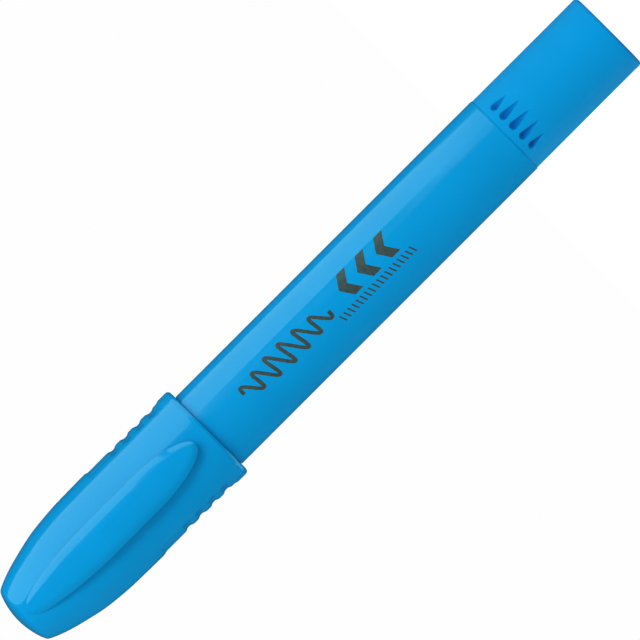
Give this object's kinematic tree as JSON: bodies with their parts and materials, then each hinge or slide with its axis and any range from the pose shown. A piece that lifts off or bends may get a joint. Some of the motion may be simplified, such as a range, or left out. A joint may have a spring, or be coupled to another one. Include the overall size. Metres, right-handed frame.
{
  "type": "twist-up gel highlighter",
  "caption": "Capped gel highlighter whose rear knob turns a screw that winds the solid gel stick out through the nose, with a leaf pocket clip on its pull-off cap.",
  "frame": {"origin": "centre of the knob's flat rear face, on which the highlighter stands", "axes": "+Z along the axis from the rear knob to the cap's nose, and -Y towards the pocket clip"},
  "size_m": [0.0188, 0.0212, 0.1372],
  "materials": {
    "barrel_gloss": "polished injection-moulded plastic, bright cyan blue, with a dark grey pad-printed motif",
    "cap_gloss": "polished injection-moulded plastic, bright cyan blue",
    "knob_satin": "satin injection-moulded plastic, bright cyan blue",
    "nose_satin": "satin injection-moulded plastic, bright cyan blue",
    "gel": "waxy, slightly translucent gel",
    "liner_white": "soft natural white plastic",
    "screw_natural": "natural acetal, off-white",
    "pusher_natural": "natural polypropylene, off-white",
    "seal_rubber": "black rubber"
  },
  "bodies": {
    "barrel": {"barrel_tube": "barrel_gloss", "friction_ring": "seal_rubber", "nose_sleeve": "nose_satin"},
    "knob": {"twist_knob": "knob_satin", "lead_screw": "screw_natural"},
    "stick": {"pusher": "pusher_natural", "gel_stick": "gel"},
    "cap": {"cap_shell": "cap_gloss", "cap_liner": "liner_white"},
    "clip": {"pocket_clip": "cap_gloss"}
  },
  "joints": [
    {"name": "knob_spin", "type": "hinge", "parent": "barrel", "child": "knob", "pos_m": [0, 0, 0.012], "axis": [0, 0, 1], "range_deg": [0, 1440]},
    {"name": "stick_advance", "type": "slide", "parent": "barrel", "child": "stick", "axis": [0, 0, 1], "range_m": [0, 0.02]},
    {"name": "cap_pull", "type": "slide", "parent": "barrel", "child": "cap", "axis": [0, 0, 1], "range_m": [0, 0.03]},
    {"name": "clip_flex", "type": "hinge", "parent": "cap", "child": "clip", "pos_m": [0, -0.01, 0.12695], "axis": [-1, 0, 0], "range_deg": [0, 5], "stiffness_Nm_per_rad": 0.4}
  ],
  "couplings": [
    {"joint": "stick_advance", "follows": "knob_spin", "m_per_rad": 0.00079577}
  ]
}
